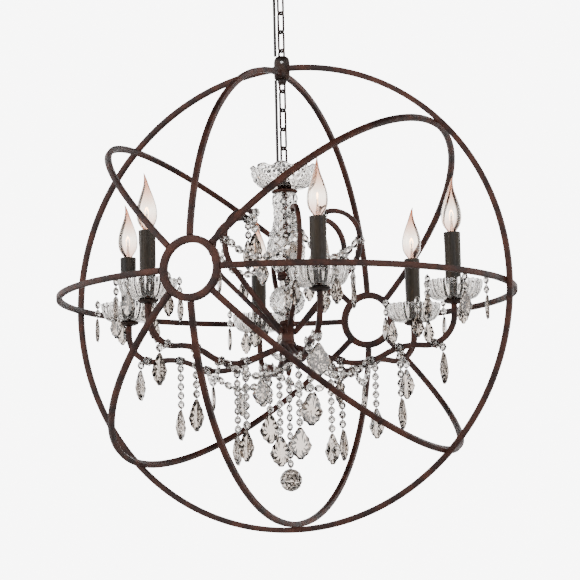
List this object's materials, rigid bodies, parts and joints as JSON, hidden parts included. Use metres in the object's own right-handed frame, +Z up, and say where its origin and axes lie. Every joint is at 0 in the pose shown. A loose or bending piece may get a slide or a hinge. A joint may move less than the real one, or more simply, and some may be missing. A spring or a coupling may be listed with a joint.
{
  "type": "orb chandelier",
  "caption": "Orb chandelier: nested iron hoops round a candle chandelier with glass column, scroll arms and cut-crystal drops, hung by chain from a ceiling canopy.",
  "frame": {"origin": "middle of the canopy's and bracket's seat on the ceiling", "axes": "+Z up, out of the ceiling face; the two hub rings lie on the Y axis, the outermost hoop in the XZ plane"},
  "size_m": [0.8094, 0.7834, 0.9839],
  "materials": {
    "rust_iron": "matt, rust brown",
    "chain_steel": "satin, dark bronze",
    "dark_bronze": "satin, dark bronze",
    "clear_glass": "clear, cut",
    "crystal": "clear, smoky",
    "bulb_glass": "clear, amber tip",
    "sleeve": "matt, dark olive",
    "lampholder": "dark",
    "cable": "dark sheath",
    "steel": "zinc plated"
  },
  "bodies": {
    "ceiling": {"ceiling_bracket": "steel", "threaded_tube": "steel", "canopy": "dark_bronze", "canopy_nut": "dark_bronze", "ceiling_loop": "dark_bronze", "supply_cable_upper": "cable"},
    "upper_link_1": {"upper_link_1": "chain_steel"},
    "upper_link_2": {"upper_link_2": "chain_steel"},
    "upper_link_3": {"upper_link_3": "chain_steel"},
    "cage": {"cage_boss": "dark_bronze", "hoop_outer": "rust_iron", "hoop_upright": "rust_iron", "hoop_rising": "rust_iron", "hoop_level": "rust_iron", "hoop_falling": "rust_iron", "hub_rings": "rust_iron", "supply_cable_lower": "cable"},
    "lower_link_1": {"lower_link_1": "chain_steel"},
    "lower_link_2": {"lower_link_2": "chain_steel"},
    "lower_link_3": {"lower_link_3": "chain_steel"},
    "lower_link_4": {"lower_link_4": "chain_steel"},
    "chandelier": {"column_loop": "dark_bronze", "crown_bowl": "clear_glass", "crown_plate": "rust_iron", "column_vase": "clear_glass", "column_collar": "rust_iron", "column_ball": "clear_glass", "column_disc": "rust_iron", "arm_hub": "rust_iron", "bottom_dish": "clear_glass", "finial": "rust_iron", "centre_rod": "steel", "arms": "rust_iron", "scrolls": "rust_iron", "candle_cups": "dark_bronze", "candle_dishes": "clear_glass", "lampholders": "lampholder", "candle_sleeves": "sleeve", "garlands": "crystal", "middle_strands": "crystal", "outer_strands": "crystal", "scroll_strands": "crystal", "rim_crystals": "crystal"},
    "bulb_1": {"bulb_1": "bulb_glass"},
    "bulb_2": {"bulb_2": "bulb_glass"},
    "bulb_3": {"bulb_3": "bulb_glass"},
    "bulb_4": {"bulb_4": "bulb_glass"},
    "bulb_5": {"bulb_5": "bulb_glass"},
    "bulb_6": {"bulb_6": "bulb_glass"},
    "long_strand_1": {"long_strand_1": "crystal"},
    "long_strand_2": {"long_strand_2": "crystal"},
    "long_strand_3": {"long_strand_3": "crystal"},
    "long_strand_4": {"long_strand_4": "crystal"},
    "long_strand_5": {"long_strand_5": "crystal"},
    "long_strand_6": {"long_strand_6": "crystal"},
    "bottom_strand": {"bottom_strand": "crystal"}
  },
  "joints": [
    {"name": "upper_chain_1", "type": "hinge", "parent": "ceiling", "child": "upper_link_1", "pos_m": [0, 0, -0.04815], "axis": [0.9265, -0.3762, 0], "range_deg": [-12, 12], "deforming": ["supply_cable_upper"]},
    {"name": "upper_chain_2", "type": "hinge", "parent": "upper_link_1", "child": "upper_link_2", "pos_m": [0, 0, -0.08185], "axis": [0.3762, 0.9265, 0], "range_deg": [-12, 12], "deforming": ["supply_cable_upper"]},
    {"name": "upper_chain_3", "type": "hinge", "parent": "upper_link_2", "child": "upper_link_3", "pos_m": [0, 0, -0.11555], "axis": [-0.9265, 0.3762, 0], "range_deg": [-12, 12], "deforming": ["supply_cable_upper"]},
    {"name": "upper_chain_4", "type": "hinge", "parent": "upper_link_3", "child": "cage", "pos_m": [0, 0, -0.14925], "axis": [-0.3762, -0.9265, 0], "range_deg": [-12, 12], "deforming": ["supply_cable_upper"]},
    {"name": "lower_chain_1", "type": "hinge", "parent": "cage", "child": "lower_link_1", "pos_m": [0, 0, -0.22125], "axis": [0.3762, 0.9265, 0], "range_deg": [-1.5, 1.5], "deforming": ["supply_cable_lower"]},
    {"name": "lower_chain_2", "type": "hinge", "parent": "lower_link_1", "child": "lower_link_2", "pos_m": [0, 0, -0.25495], "axis": [-0.9265, 0.3762, 0], "range_deg": [-1.5, 1.5], "deforming": ["supply_cable_lower"]},
    {"name": "lower_chain_3", "type": "hinge", "parent": "lower_link_2", "child": "lower_link_3", "pos_m": [0, 0, -0.28865], "axis": [-0.3762, -0.9265, 0], "range_deg": [-1.5, 1.5], "deforming": ["supply_cable_lower"]},
    {"name": "lower_chain_4", "type": "hinge", "parent": "lower_link_3", "child": "lower_link_4", "pos_m": [0, 0, -0.32235], "axis": [0.9265, -0.3762, 0], "range_deg": [-1.5, 1.5], "deforming": ["supply_cable_lower"]},
    {"name": "chandelier_twist", "type": "hinge", "parent": "lower_link_4", "child": "chandelier", "pos_m": [0, 0, -0.3539], "axis": [0, 0, 1], "range_deg": [-6, 6], "deforming": ["supply_cable_lower"]},
    {"name": "bulb_turn_1", "type": "hinge", "parent": "chandelier", "child": "bulb_1", "pos_m": [0.16176, -0.24909, -0.4904], "axis": [0, 0, 1], "continuous": true},
    {"name": "bulb_turn_2", "type": "hinge", "parent": "chandelier", "child": "bulb_2", "pos_m": [0.29659, 0.01554, -0.4904], "axis": [0, 0, 1], "continuous": true},
    {"name": "bulb_turn_3", "type": "hinge", "parent": "chandelier", "child": "bulb_3", "pos_m": [0.13484, 0.26463, -0.4904], "axis": [0, 0, 1], "continuous": true},
    {"name": "bulb_turn_4", "type": "hinge", "parent": "chandelier", "child": "bulb_4", "pos_m": [-0.16176, 0.24909, -0.4904], "axis": [0, 0, 1], "continuous": true},
    {"name": "bulb_turn_5", "type": "hinge", "parent": "chandelier", "child": "bulb_5", "pos_m": [-0.29659, -0.01554, -0.4904], "axis": [0, 0, 1], "continuous": true},
    {"name": "bulb_turn_6", "type": "hinge", "parent": "chandelier", "child": "bulb_6", "pos_m": [-0.13484, -0.26463, -0.4904], "axis": [0, 0, 1], "continuous": true},
    {"name": "strand_swing_1", "type": "hinge", "parent": "chandelier", "child": "long_strand_1", "pos_m": [0.05174, -0.07967, -0.70082], "axis": [0.8387, 0.5446, 0], "range_deg": [-8, 8]},
    {"name": "strand_swing_2", "type": "hinge", "parent": "chandelier", "child": "long_strand_2", "pos_m": [0.09487, 0.00497, -0.70082], "axis": [-0.0523, 0.9986, 0], "range_deg": [-8, 8]},
    {"name": "strand_swing_3", "type": "hinge", "parent": "chandelier", "child": "long_strand_3", "pos_m": [0.04313, 0.08465, -0.70082], "axis": [-0.891, 0.454, 0], "range_deg": [-8, 8]},
    {"name": "strand_swing_4", "type": "hinge", "parent": "chandelier", "child": "long_strand_4", "pos_m": [-0.05174, 0.07967, -0.70082], "axis": [-0.8387, -0.5446, 0], "range_deg": [-8, 8]},
    {"name": "strand_swing_5", "type": "hinge", "parent": "chandelier", "child": "long_strand_5", "pos_m": [-0.09487, -0.00497, -0.70082], "axis": [0.0523, -0.9986, 0], "range_deg": [-8, 8]},
    {"name": "strand_swing_6", "type": "hinge", "parent": "chandelier", "child": "long_strand_6", "pos_m": [-0.04313, -0.08465, -0.70082], "axis": [0.891, -0.454, 0], "range_deg": [-8, 8]},
    {"name": "bottom_strand_swing", "type": "hinge", "parent": "chandelier", "child": "bottom_strand", "pos_m": [0, 0, -0.7166], "axis": [1, 0, 0], "range_deg": [-8, 8]}
  ]
}
